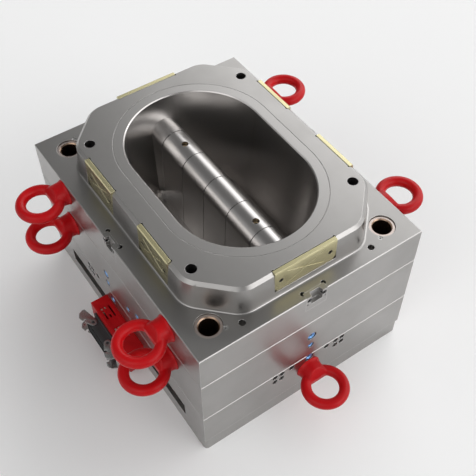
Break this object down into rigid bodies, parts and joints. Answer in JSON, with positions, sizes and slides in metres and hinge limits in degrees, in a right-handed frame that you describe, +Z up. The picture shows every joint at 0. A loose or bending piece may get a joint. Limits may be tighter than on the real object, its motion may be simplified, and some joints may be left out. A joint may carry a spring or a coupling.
{
  "type": "basin mould",
  "caption": "Cavity half of a hot runner injection mould for an oval basin: stacked steel plates, raised plateau with deep cavity and ridge, eyebolts, terminal box.",
  "frame": {"origin": "middle of the clamp plate's underside, on the locating ring's axis", "axes": "+X to the right along the short side, +Y to the rear along the long side, +Z up towards the parting face"},
  "size_m": [0.91, 0.939, 0.521],
  "materials": {
    "plate_steel": "ground and lightly brushed tool steel",
    "polished_steel": "polished mould steel",
    "ground_steel": "fine ground hardened steel",
    "black_steel": "black oxide steel",
    "nozzle_bronze": "heater sleeve, turned",
    "bush_bronze": "turned bronze",
    "wear_brass": "milled pale bronze",
    "red_paint": "glossy red paint",
    "blue_anodised": "blue anodised",
    "pale_plastic": "pale moulded plastic",
    "housing_alloy": "dark grey powder coated die casting",
    "seal_rubber": "black rubber",
    "grey_plastic": "grey moulded plastic"
  },
  "bodies": {
    "mould": {"clamp_plate": "plate_steel", "manifold_plate": "plate_steel", "support_plate": "plate_steel", "cavity_plate": "plate_steel", "cavity_insert": "polished_steel", "ridge_segment_1": "polished_steel", "ridge_segment_2": "polished_steel", "ridge_segment_3": "polished_steel", "ridge_segment_4": "polished_steel", "ridge_segment_5": "polished_steel", "ridge_segment_6": "polished_steel", "locating_ring": "ground_steel", "inlet_bush": "ground_steel", "manifold_supports": "ground_steel", "plate_dowels": "ground_steel", "side_lock_left": "ground_steel", "side_lock_front": "ground_steel", "side_lock_right": "ground_steel", "side_lock_rear": "ground_steel", "housing_screws": "ground_steel", "locating_ring_screws": "black_steel", "insert_screws": "black_steel", "bush_screws": "black_steel", "wear_plate_screws": "black_steel", "side_lock_screws": "black_steel", "port_plugs": "black_steel", "clamp_screws": "black_steel", "cavity_plate_screws": "black_steel", "terminal_box_screws": "black_steel", "hot_runner_manifold": "black_steel", "nozzle_front": "nozzle_bronze", "nozzle_rear": "nozzle_bronze", "guide_bush_front_left": "bush_bronze", "guide_bush_front_right": "bush_bronze", "guide_bush_rear_left": "bush_bronze", "guide_bush_rear_right": "bush_bronze", "wear_plate_left_front": "wear_brass", "wear_plate_left_rear": "wear_brass", "wear_plate_right_front": "wear_brass", "wear_plate_right_rear": "wear_brass", "wear_plate_front": "wear_brass", "wear_plate_rear": "wear_brass", "eyebolt_upper_left_front": "red_paint", "eyebolt_upper_left_rear": "red_paint", "eyebolt_lower_left_front": "red_paint", "eyebolt_lower_left_rear": "red_paint", "eyebolt_right_front": "red_paint", "eyebolt_right_rear": "red_paint", "eyebolt_front": "red_paint", "terminal_box": "red_paint", "front_water_fittings": "blue_anodised", "left_water_fittings": "blue_anodised", "terminal_blocks": "pale_plastic", "connector_housing": "housing_alloy", "housing_seal": "seal_rubber", "contact_insert": "grey_plastic"},
    "lever_front": {"locking_lever_front": "ground_steel"},
    "lever_rear": {"locking_lever_rear": "ground_steel"}
  },
  "joints": [
    {"name": "lever_front_pivot", "type": "hinge", "parent": "mould", "child": "lever_front", "pos_m": [-0.391, -0.036, 0.065], "axis": [0, 0, -1], "range_deg": [-15, 65]},
    {"name": "lever_rear_pivot", "type": "hinge", "parent": "mould", "child": "lever_rear", "pos_m": [-0.391, 0.044, 0.065], "axis": [0, 0, 1], "range_deg": [-15, 65]}
  ]
}
